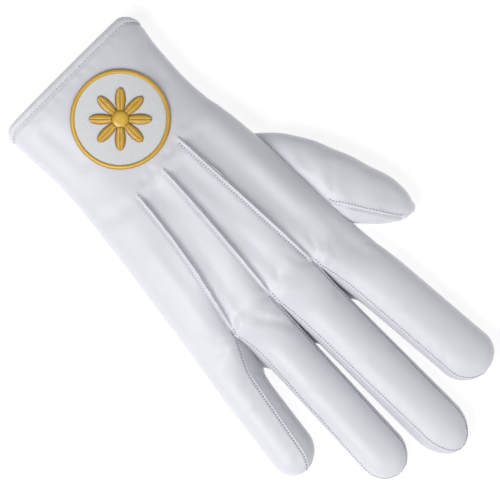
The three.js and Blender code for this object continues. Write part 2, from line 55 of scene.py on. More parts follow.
# The fingers' roots: where their axes begin, how far the hand blends into them, and the valleys on the way
# to the crotches, which are shallower in the palm
ROOT_Y = 0.16 * GLOVE_LENGTH
BLEND = 0.08 * GLOVE_LENGTH
BLEND_POWER = 2.2
VALLEY_LENGTH = 0.136 * GLOVE_LENGTH
VALLEY_DEPTH = 0.15 * PALM_HEIGHT
PALM_VALLEY = 0.35
# The cuff: the radii of its corners, how far up its curve reaches, and the binding
CUFF_CORNER = (6.5, 4.5)
CUFF_CURVE = 26
CUFF_INSET = 1.1
BINDING_WIDE = 4.4
BINDING_THICK = 1.0
BINDING_CLEAR = 0.45
# The raised points: height, the dip beside them and how far each bends sideways
POINT_HEIGHT = 1.2
POINT_DIP = 1.1
POINT_BENDS = (0.0, -0.8, -2.2)
# Stitches, and their distance from a seam
STITCH_PITCH = 1.45
STITCH_LONG = 0.76
STITCH_THICK = 0.28
SEAM_OFF = 1.15
# The badge
BADGE_RADIUS = 22.8
BADGE_RING = 2.1
PETALS = 8
SATIN_PITCH = 0.42

# The sections' form: the powers of their rounded tops, the flat share of their undersides, their seams as
# shares of the half width, and the share of the height at which they are widest
HAND_POWER, HAND_FLAT, HAND_SEAM = 2.5, 0.72, 0.9
FINGER_POWER, FINGER_FLAT, UNDER_SEAM, UNDER_OUTER_SEAM = 2.15, 0.4, 0.62, 0.8
THUMB_POWER, THUMB_UNDER, THUMB_WIDEST = 2.3, 2.6, 0.46
WIDEST = 0.44
# A section's side turns under at this share of the way down; fingers get lower and their tips rise a little
TURN = 0.52
FINGER_TAPER = 0.1
TIP_RISE = 0.12

# Fingers from the index finger. tip and cap are shares of the glove's length, and wide, root and end (the
# axis at the root and at the tip) of the palm's width. high is a share of the fingers' height. seams holds
# the back's left seam at root and tip and its right seam at root and tip, as shares of the half width.
FINGERS = [
    dict(tip=0.4328, cap=0.048, wide=0.2722, root=-0.2905, end=-0.3465, high=0.9737,
         seams=(-0.8, -0.8, 0.82, 0.86)),
    dict(tip=0.5, cap=0.064, wide=0.2557, root=-0.0085, end=-0.0105, high=1.0,
         seams=(-0.97, -0.94, 0.9, 0.74)),
    dict(tip=0.4528, cap=0.05, wide=0.2371, root=0.2485, end=0.2785, high=0.9737,
         seams=(-0.97, -0.94, 0.86, 0.96)),
    dict(tip=0.3288, cap=0.044, wide=0.2268, root=0.5255, end=0.583, high=0.8947,
         seams=(-0.7, -0.42, 0.8, 0.8)),
]
# Crotches, in the same shares: back x and y, palm x and y, and the raised point's start x and y
CROTCHES = [
    (-0.1402, 0.08, -0.1361, 0.164, -0.0959, -0.272),
    (0.1196, 0.068, 0.1309, 0.176, 0.0566, -0.25),
    (0.3711, 0.064, 0.3876, 0.14, 0.2261, -0.25),
]
# Where the outer sides of the index and the little finger begin, on the back and on the palm
SIDE_BACK = (0.104, 0.08)
SIDE_PALM = (0.152, 0.116)
# The hand's sections: y, left, right, height
HAND = np.array([
    (-0.5, -0.3567, 0.4763, 0.8214),
    (-0.448, -0.3392, 0.468, 0.8214),
    (-0.328, -0.3196, 0.4639, 0.8393),
    (-0.22, -0.3546, 0.4938, 0.9286),
    (-0.1, -0.3794, 0.5361, 1.0),
    (-0.02, -0.3876, 0.5649, 1.0),
    (0.06, -0.3959, 0.5969, 0.8571),
    (0.128, -0.4103, 0.6278, 0.7321),
    (0.2, -0.4289, 0.6557, 0.6786),
    (0.28, -0.4474, 0.6866, 0.6429),
]) * (GLOVE_LENGTH, PALM_WIDTH, PALM_WIDTH, PALM_HEIGHT)
# The thumb's sections: outer x and y, inner x and y, height
THUMB = np.array([
    (-0.2577, -0.14, -0.2474, 0.008, 0.4737),
    (-0.3402, -0.18, -0.3402, 0.044, 0.7368),
    (-0.4495, -0.146, -0.3814, 0.0568, 0.9211),
    (-0.5299, -0.098, -0.4, 0.0688, 0.9737),
    (-0.5907, -0.046, -0.4268, 0.0816, 0.9737),
    (-0.6371, 0.006, -0.4598, 0.0956, 0.9579),
    (-0.6711, 0.048, -0.501, 0.11, 0.9053),
    (-0.6845, 0.08, -0.5485, 0.1236, 0.8),
    (-0.6825, 0.1, -0.5907, 0.1308, 0.68),
    (-0.6701, 0.1168, -0.6247, 0.1324, 0.52),
]) * (PALM_WIDTH, GLOVE_LENGTH, PALM_WIDTH, GLOVE_LENGTH, FINGER_HEIGHT)
THUMB_TIP = np.array((-0.6577 * PALM_WIDTH, 0.1304 * GLOVE_LENGTH, 0.28 * FINGER_HEIGHT))
THUMB_FLOOR = 0.6
BADGE = np.array((0.034 * PALM_WIDTH, -0.3648 * GLOVE_LENGTH))


def smooth(t):
    """An eased step from 0 to 1."""
    c = np.clip(t, 0, 1)
    return c * c * (3 - 2 * c)


def bump(t, width):
    """A bell of height 1 round 0."""
    return np.exp(-((t / width) ** 2))


def hand_at(column, y):
    """One column of the hand's table at y, by a cubic through its rows."""
    ys, values = HAND[:, 0], HAND[:, column]
    v = np.clip(y, ys[0], ys[-1])
    i = np.clip(np.searchsorted(ys, v, side="left") - 1, 0, len(ys) - 2)
    row = np.arange(len(ys))
    low, high = np.maximum(row - 1, 0), np.minimum(row + 1, len(ys) - 1)
    slope = (values[high] - values[low]) / (ys[high] - ys[low])
    wide = ys[i + 1] - ys[i]
    t = (v - ys[i]) / wide
    a = (1 + 2 * t) * (1 - t) ** 2 * values[i] + t * (1 - t) ** 2 * wide * slope[i]
    return a + t * t * (3 - 2 * t) * values[i + 1] - t * t * (1 - t) * wide * slope[i + 1]


def hand_section(y):
    """The hand's height at y, the height of its widest line, its middle and its half width."""
    left, right, high = hand_at(1, y), hand_at(2, y), hand_at(3, y)
    return high, WIDEST * high, (left + right) / 2, (right - left) / 2


def upper_rise(p, power):
    """The height of a section's top, from 1 in its middle to 0 at its edges."""
    return (1 - np.clip(np.abs(p), 0, 1) ** power) ** (1 / power)


def under_rise(p, flat):
    """The height of a section's underside, from 0 on its flat to 1 at its edges."""
    q = np.clip((np.abs(p) - flat) / (1 - flat), 0, 1)
    return 1 - np.sqrt(1 - q * q)


def side_point(side, p0, p1, t, power, flat, mid, rise):
    """Place and height on a section's side: t runs from the upper seam, p0, to the under seam, p1."""
    a = np.arccos(np.minimum(np.abs(p0), 1) ** (power / 2)) * (1 - np.minimum(t / TURN, 1))
    q = min(max((abs(p1) - flat) / (1 - flat), 0), 1)
    b = math.pi / 2 + (math.asin(q) - math.pi / 2) * np.clip((t - TURN) / (1 - TURN), 0, 1)
    above = t <= TURN
    p = np.where(above, np.cos(a) ** (2 / power), flat + (1 - flat) * np.sin(b))
    z = np.where(above, mid + rise * np.sin(a) ** (2 / power), mid * (1 - np.cos(b)))
    return side * p, z


def hand_line(k, y, under):
    """The x of a line between two panels of the hand: 0 and 4 are its sides, 1 to 3 run to the crotches."""
    left, right = hand_at(1, y), hand_at(2, y)
    if k in (0, 4):
        return (left + right) / 2 + (-1 if k == 0 else 1) * HAND_SEAM * (right - left) / 2
    back_x, back_y, palm_x, palm_y, start_x, start_y = CROTCHES[k - 1]
    end_x, end_y = (palm_x, palm_y) if under else (back_x, back_y)
    end_y, start_y = end_y * GLOVE_LENGTH, start_y * GLOVE_LENGTH
    t = (np.minimum(y, end_y) - start_y) / (end_y - start_y)
    return PALM_WIDTH * (start_x + (end_x - start_x) * t)


def root_line(k, under):
    """The y at which such a line ends."""
    if k in (0, 4):
        return GLOVE_LENGTH * (SIDE_PALM if under else SIDE_BACK)[k // 4]
    return GLOVE_LENGTH * CROTCHES[k - 1][3 if under else 1]


def panel_end(part, k, u):
    """The y at which a panel of the hand goes over into its finger, at u across the panel."""
    if part in ("left", "right"):
        line = k if part == "left" else k + 1
        first, last = root_line(line, False), root_line(line, True)
    else:
        first, last = root_line(k, part == "under"), root_line(k + 1, part == "under")
    return first + (last - first) * u


def point_line(i, y):
    """The crest of one raised point."""
    end, start = CROTCHES[i][1], CROTCHES[i][5]
    share = (y / GLOVE_LENGTH - start) / (end - start)
    return hand_line(i + 1, y, False) + POINT_BENDS[i] * (1 - (2 * share - 1) ** 2)


def raised(x, y):
    """The raised points: a pinched crest, a steep side towards the thumb and a slow rise from there."""
    z = np.zeros_like(x)
    for i, crotch in enumerate(CROTCHES):
        end, start = crotch[1] * GLOVE_LENGTH, crotch[5] * GLOVE_LENGTH
        d = x - point_line(i, y)
        along = smooth((y - start) / 6) * smooth((end - 1 - y) / 8)
        crest = POINT_HEIGHT * bump(d, 0.75) - 0.3 * bump(d - 1.7, 0.6)
        left = np.minimum(d, 0)
        drop = 1.2 * (1 - np.exp(left / 0.55)) + POINT_DIP * (1 - np.exp(left / 5))
        z += along * (crest - drop * smooth((d + 18) / 11))
    return z


def upper_seams(k, v):
    """A finger's left and right seam on the back, as shares of its half width."""
    left_root, left_tip, right_root, right_tip = FINGERS[k]["seams"]
    s = np.clip(v - 1, 0, 1) ** 0.8
    return left_root + (left_tip - left_root) * s, right_root + (right_tip - right_root) * s


def under_seams(k):
    """The same on the palm side."""
    return -UNDER_OUTER_SEAM if k == 0 else -UNDER_SEAM, UNDER_OUTER_SEAM if k == 3 else UNDER_SEAM


def skin(part, k, u, v):
    """The leather's outer face. u runs across the part, and v from 0 at the cuff to 1 at the crotches,
    2 at a finger's shoulder and 3 at its tip."""
    u, v = np.broadcast_arrays(np.asarray(u, float), np.asarray(v, float))
    under = part == "under"
    f = FINGERS[k]
    tip, cap = f["tip"] * GLOVE_LENGTH, f["cap"] * GLOVE_LENGTH
    shoulder = tip - cap
    side = -1 if part == "left" else 1
    line = k if part == "left" else k + 1
    on_side = part in ("left", "right")
    end = panel_end(part, k, u)
    t, s, angle = np.clip(v, 0, 1), np.clip(v - 1, 0, 1), np.clip(v - 2, 0, 1) * math.pi / 2
    y = np.where(v <= 1, CUFF_Y + (end - CUFF_Y) * t, end + (shoulder - end) * s)

    high, mid, centre, half = hand_section(y)

    def surface(uu, below):
        x0, x1 = hand_line(k, y, below), hand_line(k + 1, y, below)
        x = x0 + (x1 - x0) * uu
        p = (x - centre) / half
        stop = panel_end("under" if below else "upper", k, uu)
        inner = np.where(uu < 0.5, k > 0, k < 3)
        valley = VALLEY_DEPTH * smooth((y - stop + VALLEY_LENGTH) / VALLEY_LENGTH)
        valley = valley * np.abs(2 * uu - 1) ** 3 * inner
        if below:
            return x, mid * under_rise(p, HAND_FLAT) + PALM_VALLEY * valley
        return x, mid + (high - mid) * upper_rise(p, HAND_POWER) - valley

    if not on_side:
        hx, hz = surface(u, under)
        if not under:
            hz = hz + raised(hx, y)
    elif line in (0, 4):
        p, hz = side_point(side, HAND_SEAM, HAND_SEAM, u, HAND_POWER, HAND_FLAT, mid, high - mid)
        hx = centre + half * p
    else:
        edge = np.zeros_like(u) if part == "left" else np.ones_like(u)
        back_x, back_z = surface(edge, False)
        palm_x, palm_z = surface(edge, True)
        hx, hz = back_x + (palm_x - back_x) * u, back_z + (palm_z - back_z) * u

    radial, away = np.cos(angle), np.sin(angle)
    finger_half = f["wide"] * PALM_WIDTH / 2
    fh = f["high"] * FINGER_HEIGHT * (1 - FINGER_TAPER * smooth((y - ROOT_Y) / (tip - ROOT_Y)))
    fm = WIDEST * fh
    if not on_side:
        first, last = under_seams(k) if under else upper_seams(k, v)
        p = first + (last - first) * u
        fz = fm * under_rise(p, FINGER_FLAT) if under else fm + (fh - fm) * upper_rise(p, FINGER_POWER)
    else:
        which = 0 if side < 0 else 1
        top, low = upper_seams(k, v)[which], under_seams(k)[which]
        p, fz = side_point(side, top, low, u, FINGER_POWER, FINGER_FLAT, fm, fh - fm)
    at = (y + cap * away - ROOT_Y) / (tip - ROOT_Y)
    axis = PALM_WIDTH * (f["root"] + (f["end"] - f["root"]) * at)
    fx = axis + finger_half * radial * p
    fz = fm + TIP_RISE * fh * away * away + (fz - fm) * radial
    reach = np.where(v > 1, np.clip((y - end) / BLEND, 0, 1), 0)
    reach = np.where(v > 2, 1, reach)
    spread = 1 - (1 - reach) ** BLEND_POWER
    x = hx + (fx - hx) * spread
    z = np.maximum(hz + (fz - hz) * smooth(reach), 0)
    return cuff_trim(x, y + cap * away, z)


def cuff_trim(x, y, z):
    """The cuff's edge runs back round the sides and is drawn in under its binding."""
    left, right = hand_at(1, y), hand_at(2, y)
    away = smooth(1 - (y - CUFF_Y) / CUFF_CURVE)
    thumb_corner, little_corner = CUFF_CORNER
    inset = np.clip((left + thumb_corner - x) / thumb_corner, 0, 1)
    outset = np.clip((x - right + little_corner) / little_corner, 0, 1)
    back = thumb_corner * (1 - np.sqrt(1 - inset ** 2)) + little_corner * (1 - np.sqrt(1 - outset ** 2))
    near = smooth((BINDING_WIDE + 0.9 - (y - CUFF_Y)) / 1.9)
    high = np.clip(z / hand_at(3, y), 0, 1)
    p = np.clip((2 * x - left - right) / (right - left), -1, 1)
    up = BINDING_THICK + BINDING_CLEAR + 0.05
    x = x - near * CUFF_INSET * np.sign(p) * smooth(np.abs(p))
    return np.stack([x, y + away * back, z + near * (up + (-CUFF_INSET - up) * high)], -1)


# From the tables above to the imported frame, found from the badge's middle and the trank's lowest point
border_low, border_high = np.array(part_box("badge_border"))[:, :2] / MM
SHIFT = np.append((border_low + border_high) / 2 - BADGE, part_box("trank")[0][2] / MM)


def alone():
    """Object mode, with nothing selected."""
    if bpy.context.object and bpy.context.object.mode != "OBJECT":
        bpy.ops.object.mode_set(mode="OBJECT")
    bpy.ops.object.select_all(action="DESELECT")


def pick(*pieces):
    """Selects the pieces only and makes the first one active."""
    alone()
    for piece in pieces:
        piece.select_set(True)
    bpy.context.view_layer.objects.active = pieces[0]


def apply(piece, kind, **settings):
    """Adds a modifier with these settings and applies it."""
    pick(piece)
    modifier = piece.modifiers.new(kind.title(), kind)
    for name, value in settings.items():
        setattr(modifier, name, value)
    bpy.ops.object.modifier_apply(modifier=modifier.name)


def merged(pieces, name, gap=0.00002):
    """The pieces joined as one, with the vertices that are nearer than the gap made one."""
    pick(*pieces)
    if len(pieces) > 1:
        bpy.ops.object.join()
    whole = bpy.context.object
    whole.name = name
    bpy.ops.object.mode_set(mode="EDIT")
    bpy.ops.mesh.select_all(action="SELECT")
    bpy.ops.mesh.remove_doubles(threshold=gap)
    bpy.ops.object.mode_set(mode="OBJECT")
    return whole


def coords(piece):
    """The vertices of a piece, in metres."""
    co = np.empty(len(piece.data.vertices) * 3)
    piece.data.vertices.foreach_get("co", co)
    return co.reshape(-1, 3)


def normals(piece):
    """The normals at its vertices."""
    n = np.empty(len(piece.data.vertices) * 3)
    piece.data.vertex_normals.foreach_get("vector", n)
    return n.reshape(-1, 3)


def place(piece, co):
    """Moves its vertices to these points, in metres."""
    piece.data.vertices.foreach_set("co", np.ascontiguousarray(co, float).ravel())
    piece.data.update()


def sheet(points, lift, flip=False):
    """A grid whose vertices stand at the given points, in millimetres; lift is kept on each vertex."""
    if flip:
        points, lift = points[:, ::-1], lift[:, ::-1]
    rows, columns = points.shape[:2]
    alone()
    bpy.ops.mesh.primitive_grid_add(x_subdivisions=columns - 1, y_subdivisions=rows - 1, size=1)
    piece = bpy.context.object
    place(piece, (points.reshape(-1, 3) + SHIFT) * MM)
    kept = piece.data.attributes.new("lift", "FLOAT", "POINT")
    kept.data.foreach_set("value", np.ascontiguousarray(lift, float).ravel())
    return piece


def raise_by_lift(piece):
    """Moves each vertex along its normal by its kept lift, then drops the record of it."""
    lift = np.empty(len(piece.data.vertices))
    piece.data.attributes["lift"].data.foreach_get("value", lift)
    place(piece, coords(piece) + normals(piece) * lift[:, None] * MM)
    piece.data.attributes.remove(piece.data.attributes["lift"])


def inside_of(points):
    """Distance of each point of a grid from its first and last column, along its row."""
    step = np.linalg.norm(np.diff(points, axis=1), axis=2)
    run = np.concatenate([np.zeros((len(points), 1)), np.cumsum(step, axis=1)], axis=1)
    return run, run[:, -1:] - run


def along_of(points):
    """Distance of each point of a grid from its first row, along its column."""
    step = np.linalg.norm(np.diff(points, axis=0), axis=2)
    return np.concatenate([np.zeros((1, points.shape[1])), np.cumsum(step, axis=0)], axis=0)


def line_field(x, y, line):
    """Distance from a line through the given points, and how far along it the nearest point is."""
    line = np.array(line, float)
    best, where, run = np.full(x.shape, 1e9), np.zeros(x.shape), 0.0
    for (ax, ay), (bx, by) in zip(line[:-1], line[1:]):
        dx, dy = bx - ax, by - ay
        length = math.hypot(dx, dy)
        t = np.clip(((x - ax) * dx + (y - ay) * dy) / length ** 2, 0, 1)
        d = np.hypot(x - ax - t * dx, y - ay - t * dy)
        near = d < best
        best, where = np.where(near, d, best), np.where(near, run + t * length, where)
        run += length
    return best, where / run


# Creases of the back: points, width, height (a dip is negative)
CREASES = [
    (((13, 33), (18, 24), (25, 15)), 2.4, -0.8),
    (((14, 26), (18, 19), (22, 14)), 1.3, 0.22),
    (((12, 19), (17, 18), (22, 19)), 0.9, -0.25),
    (((12, 16.5), (17, 14.5), (22, 14)), 0.9, 0.22),
    (((12, 14.5), (16, 11), (20, 9.5)), 0.9, -0.28),
    (((11.5, 13), (14, 9), (16.5, 5)), 0.9, 0.2),
    (((36, 10), (41, 10), (46, 12)), 0.9, -0.22),
    (((-15, 23), (-20, 23), (-25, 20)), 0.9, -0.22),
    (((-14, 18), (-18, 13), (-20, 5)), 1.4, -0.45),
    (((-14, 21), (-20, 19), (-25, 12)), 1.2, 0.35),
    (((-12, 17), (-8, 12), (-6, 3)), 1.3, -0.4),
    (((10, 14), (5, 12), (0, 5)), 1.4, -0.4),
    (((11, 11), (8, 6), (7, -2)), 1.0, -0.3),
    (((37, 14), (42, 13), (47, 7)), 1.1, -0.4),
    (((38, 17), (44, 18), (49, 14)), 1.2, 0.3),
    (((35, 12), (31, 8), (29, 0)), 1.2, -0.4),
    (((36, 15), (31, 14), (27, 9)), 1.0, 0.3),
    (((36, 22), (38, 30), (41, 36)), 1.6, -0.5),
    (((-31, 6), (-30, 20), (-33, 34)), 3.0, -0.5),
    (((-27, -40), (-26, -20), (-27, 0)), 5.0, 0.8),
    (((0, -48), (-1, -20), (-2, 8)), 4.0, 0.5),
    (((15, -48), (17, -20), (22, 6)), 4.0, 0.5),
    (((35, -45), (40, -15), (44, 12)), 4.0, 0.6),
    (((-12, 30), (-11, 34), (-9, 38)), 1.2, -0.35),
    (((-31, -112), (-24, -100), (-22, -86)), 4.0, -0.7),
    (((32, -116), (30, -98), (31, -84)), 4.5, -0.6),
    (((-33, -72), (-24, -67), (-12, -69)), 3.0, -0.5),
    (((44, -66), (35, -61), (26, -62)), 3.4, -0.35),
    (((8, -66), (12, -63), (18, -64)), 1.8, -0.5),
    (((-8, -67), (-3, -64), (2, -66)), 1.6, -0.45),
    (((-38, 58), (-30, 61), (-22, 58)), 2.4, -0.4),
    (((-34, 88), (-30, 90), (-25, 87)), 2.6, -0.25),
    (((-10, 62), (-1, 66), (6, 63)), 2.6, -0.35),
    (((15, 56), (23, 60), (31, 57)), 2.4, -0.4),
    (((46, 42), (52, 44), (59, 41)), 2.0, -0.35),
]


def folds(x, y, table):
    """The height of a table's creases, which fade towards their ends."""
    z = np.zeros_like(x)
    for line, wide, high in table:
        d, t = line_field(x, y, line)
        z += high * bump(d, wide) * smooth(np.minimum(t, 1 - t) * 4 + 0.25)
    return z


def creases(x, y):
    """The back's creases and the leather's slow and fine unevenness."""
    z = folds(x, y, CREASES)
    z += 0.14 * np.sin(x * 0.21 + 1.3 * np.sin(y * 0.083)) * np.sin(y * 0.09 + 0.9 * np.sin(x * 0.11))
    z += 0.045 * np.sin(x * 0.47 - y * 0.31) * np.sin(y * 0.42 + 1.7 * np.sin(x * 0.17))
    return z


def seam_lift(d, run, high=1.0):
    """A sewn edge: a lip, the stitch line's furrow, and puckers at the pitch of the stitches."""
    wave = 0.5 + 0.5 * np.cos(2 * math.pi * run / STITCH_PITCH)
    lift = 0.3 * bump(d - 0.35, 0.6) - 0.22 * bump(d - SEAM_OFF, 0.4) * (0.3 + 0.7 * wave)
    lift += 0.16 * bump(d - 2.3, 1.0) - 0.12 * bump(d - 3.2, 2.0) * np.sin(run * 0.9 + np.sin(run * 0.37))
    return high * lift


# Distances from a seam, in millimetres, at which a panel has its grid lines
SIDES_FINE = np.array([0, 0.25, 0.5, 0.8, 1.1, 1.4, 1.7, 2.1, 2.6, 3.2, 4.0])


def across(width, step):
    """Shares across a panel, close together near its two seams."""
    near = SIDES_FINE / width
    middle = np.linspace(near[-1], 1 - near[-1], max(int(round((width - 8) / step)), 2) + 1)
    return np.concatenate([near[:-1], middle, (1 - near[:-1])[::-1]])


# The grid's v down a panel: close together at the cuff, the crotches and the fingertip
DOWN = np.concatenate([
    np.linspace(0, 0.06, 9)[:-1],
    np.linspace(0.06, 0.96, 100)[:-1],
    np.linspace(0.96, 1, 8)[:-1],
    1 + np.linspace(0, 0.1, 14)[:-1],
    1 + np.linspace(0.1, 1, 58)[:-1],
    2 + np.linspace(0, 1, 15),
])
FINGER_V = DOWN[DOWN >= 1]


def patch(part, k, us, vs):
    """One panel's grid with its lift: creases on the back, a sewn edge along each finger seam."""
    u, v = np.meshgrid(us, vs)
    points = skin(part, k, u, v)
    x, y = points[..., 0] + SHIFT[0], points[..., 1] + SHIFT[1]
    cuff = points[..., 1] - CUFF_Y
    height = np.clip(points[..., 2] / 22, 0, 1)
    lift = creases(x, y) * smooth((height - 0.25) / 0.4) * smooth((cuff - 3) / 8)
    left, right = inside_of(points)
    run = along_of(points)
    sewn = smooth((v - 0.965) / 0.035)
    if part in ("upper", "under"):
        full = 1.0 if part == "upper" else 0.8
        if k > 0:
            lift += seam_lift(left, run, full) * sewn
        if k < 3:
            lift += seam_lift(right, run, full) * sewn
    elif (part, k) not in (("left", 0), ("right", 3)):
        lift += (seam_lift(left, run, 0.5) + seam_lift(right, run, 0.5)) * sewn
    lift -= 0.2 * bump(cuff - 6.5, 1.6) * (1 + 0.6 * np.sin(x * 0.9 + np.sin(x * 0.31)))
    return sheet(points, lift, part in ("under", "left"))


def trank():
    """Back and palm, with the fingers' backs and fronts and the hand's two outer sides."""
    pieces = []
    for k in range(4):
        wide = 25.0 if k else 27.0
        pieces.append(patch("upper", k, across(wide, 1.1), DOWN))
        pieces.append(patch("under", k, across(wide, 3.0)[::2], DOWN))
    side = np.linspace(0, 1, 15)
    pieces.append(patch("left", 0, side, DOWN))
    pieces.append(patch("right", 3, side, DOWN))
    return merged(pieces, "trank_leather")


def fourchette(i):
    """The strip between two fingers."""
    side = np.linspace(0, 1, 13)
    pieces = [patch("right", i - 1, side, FINGER_V), patch("left", i, side, FINGER_V)]
    return merged(pieces, "fourchette_leather_%d" % i)


def shell(piece):
    """Gives a sheet the leather's thickness, inwards."""
    apply(piece, "SOLIDIFY", thickness=LEATHER * MM, offset=-1.0, use_rim=True)
    pick(piece)
    bpy.ops.object.shade_smooth_by_angle(angle=math.radians(60))


def centripetal(rows, count):
    """Points along a smooth line through the rows, spread evenly over its pieces."""
    rows = np.array(rows, float)
    out = []
    last = len(rows) - 1
    for j in range(count):
        s = last * j / (count - 1)
        i = min(int(s), last - 1)
        w = s - i
        p1, p2 = rows[i], rows[i + 1]
        p0 = rows[i - 1] if i > 0 else 2 * p1 - p2
        p3 = rows[i + 2] if i < last - 1 else 2 * p2 - p1
        d0, d1, d2 = (max(np.linalg.norm(b - a) ** 0.5, 1e-4) for a, b in ((p0, p1), (p1, p2), (p2, p3)))
        m1 = ((p1 - p0) / d0 - (p2 - p0) / (d0 + d1) + (p2 - p1) / d1) * d1
        m2 = ((p2 - p1) / d1 - (p3 - p1) / (d1 + d2) + (p3 - p2) / d2) * d1
        out.append(p1 + m1 * w + (3 * (p2 - p1) - 2 * m1 - m2) * w * w + (2 * (p1 - p2) + m1 + m2) * w ** 3)
    return np.array(out)


# The thumb's creases, as above, and its seam, whose length the puckers go by
THUMB_CREASES = [
    (((-50, -16), (-44, -10), (-39, -5)), 2.6, 0.4),
    (((-52, -10), (-46, -5), (-41, 0)), 2.0, -0.4),
    (((-45, -5), (-42, -3), (-40, -2)), 1.2, 0.3),
    (((-57, 4), (-50, 6), (-44, 6)), 3.0, -0.3),
    (((-46, -28), (-43, -22), (-42, -12)), 2.4, -0.35),
    (((-61, 20), (-56, 22), (-51, 21)), 2.5, -0.3),
]
THUMB_SEAM = ((-37.2, 2), (-38, 4.5), (-40, 7), (-43, 12), (-46, 17), (-50, 23), (-53.5, 28.5), (-56, 31.5))
THUMB_SEAM_LONG = 36


def thumb_edges(count):
    """The thumb's outer edge, with each section's height as z, and its inner edge, with 0."""
    inner = np.column_stack([THUMB[:, 2:4], np.zeros(len(THUMB))])
    return centripetal(THUMB[:, [0, 1, 4]], count), centripetal(inner, count)


def thumb():
    """Sections from edge to edge, and a round cap that draws the last one in to the tip."""
    around, rows, cap = 112, 130, 24
    outer, inner = thumb_edges(rows)
    angle = -2 * math.pi * np.arange(around + 1) / around
    c, s = np.cos(angle), np.sin(angle)
    side = np.sign(c) * np.abs(c) ** (2 / THUMB_POWER)
    rise = np.where(s > 0, np.abs(s) ** (2 / THUMB_POWER), -np.abs(s) ** (2 / THUMB_UNDER))

    def ring(o, i, radial, shift):
        centre, way = (o[:2] + i[:2]) / 2, i[:2] - o[:2]
        half = np.linalg.norm(way) / 2
        way = way / (2 * half)
        top = THUMB_FLOOR + o[2]
        mid = THUMB_FLOOR + (top - THUMB_FLOOR) * THUMB_WIDEST
        z = np.where(s > 0, (top - mid) * rise, (mid - THUMB_FLOOR) * rise)
        xy = centre + np.outer(side * half * radial, way)
        return np.column_stack([xy, mid + z * radial]) + shift

    rings = [ring(outer[j], inner[j], 1.0, np.zeros(3)) for j in range(rows)]
    o, i = outer[-1], inner[-1]
    end = np.array([*((o[:2] + i[:2]) / 2), THUMB_FLOOR + THUMB_WIDEST * o[2]])
    start = math.pi / 4
    for a in np.linspace(start, math.pi / 2, cap + 1)[1:]:
        out = (math.sin(a) - math.sin(start)) / (1 - math.sin(start))
        rings.append(ring(o, i, math.cos(a) / math.cos(start), (THUMB_TIP - end) * out))
    points = np.array(rings)
    x, y = points[..., 0] + SHIFT[0], points[..., 1] + SHIFT[1]
    up = smooth((points[..., 2] - 4) / 5)
    lift = folds(x, y, THUMB_CREASES) * up
    d, t = line_field(x, y, THUMB_SEAM)
    wave = 0.5 + 0.5 * np.cos(2 * math.pi * t * THUMB_SEAM_LONG / STITCH_PITCH)
    lift += (-0.9 * bump(d, 0.42) + 0.3 * bump(d - 1.3, 0.7) - 0.07 * bump(d - 2.3, 1.1) * wave) * up
    lift += 0.2 * np.sin(x * 0.33 + y * 0.12) * np.sin(y * 0.29 - x * 0.1)
    return merged([sheet(points, lift)], "thumb_leather", 0.00001)


def drop_faces(piece, doomed):
    """Deletes the faces for which doomed(middle point in millimetres) holds."""
    pick(piece)
    co = coords(piece) / MM - SHIFT
    count = len(piece.data.polygons)
    start, total = np.empty(count, int), np.empty(count, int)
    piece.data.polygons.foreach_get("loop_start", start)
    piece.data.polygons.foreach_get("loop_total", total)
    corner = np.empty(len(piece.data.loops), int)
    piece.data.loops.foreach_get("vertex_index", corner)
    middle = np.add.reduceat(co[corner], start) / total[:, None]
    marks = doomed(middle)
    piece.data.vertices.foreach_set("select", np.zeros(len(co), bool))
    piece.data.edges.foreach_set("select", np.zeros(len(piece.data.edges), bool))
    piece.data.polygons.foreach_set("select", marks)
    bpy.ops.object.mode_set(mode="EDIT")
    bpy.ops.mesh.select_mode(type="FACE")
    bpy.ops.mesh.delete(type="FACE")
    bpy.ops.object.mode_set(mode="OBJECT")


def in_hand(p, margin):
    """Whether points are within the hand's outer skin by the margin."""
    x, y, z = p.T
    high, mid, centre, half = hand_section(y)
    q = (x - centre) / (half - margin)
    top = mid + (high - mid) * upper_rise(q, HAND_POWER) - margin
    low = mid * under_rise(q, HAND_FLAT) + margin
    return (np.abs(q) < 1) & (z < top) & (z > low)


def in_thumb(p, margin):
    """Whether points near the thumb's root are within its outer skin by the margin."""
    outer, inner = thumb_edges(60)
    a, b = outer[:, :2], inner[:, :2]
    wide = np.linalg.norm(b - a, axis=1)
    way, centre = (b - a) / wide[:, None], (a + b) / 2
    held = np.zeros(len(p), bool)
    for n in np.flatnonzero((p[:, 0] < -18) & (p[:, 1] < 12) & (p[:, 1] > -50)):
        x, y, z = p[n]
        off = np.abs((x - a[:, 0]) * way[:, 1] - (y - a[:, 1]) * way[:, 0])
        j = int(np.argmin(off))
        q = abs((x - centre[j, 0]) * way[j, 0] + (y - centre[j, 1]) * way[j, 1]) / (wide[j] / 2 - margin)
        if off[j] > 1.2 or q >= 1:
            continue
        top = THUMB_FLOOR + outer[j, 2]
        mid = THUMB_FLOOR + THUMB_WIDEST * outer[j, 2]
        high = mid + (top - mid - margin) * upper_rise(q, THUMB_POWER)
        low = mid - (mid - THUMB_FLOOR - margin) * upper_rise(q, THUMB_UNDER)
        held[n] = low < z < high
    return held


# The leather pieces. Where the thumb and the hand run into each other, the faces inside are left out
hand = trank()
raise_by_lift(hand)
drop_faces(hand, lambda p: in_thumb(p, LEATHER + 0.3))
shell(hand)
forks = []
for i in (1, 2, 3):
    fork = fourchette(i)
    raise_by_lift(fork)
    shell(fork)
    forks.append(fork)
finger = thumb()
raise_by_lift(finger)
drop_faces(finger, lambda p: in_hand(p, LEATHER + 0.3))
shell(finger)


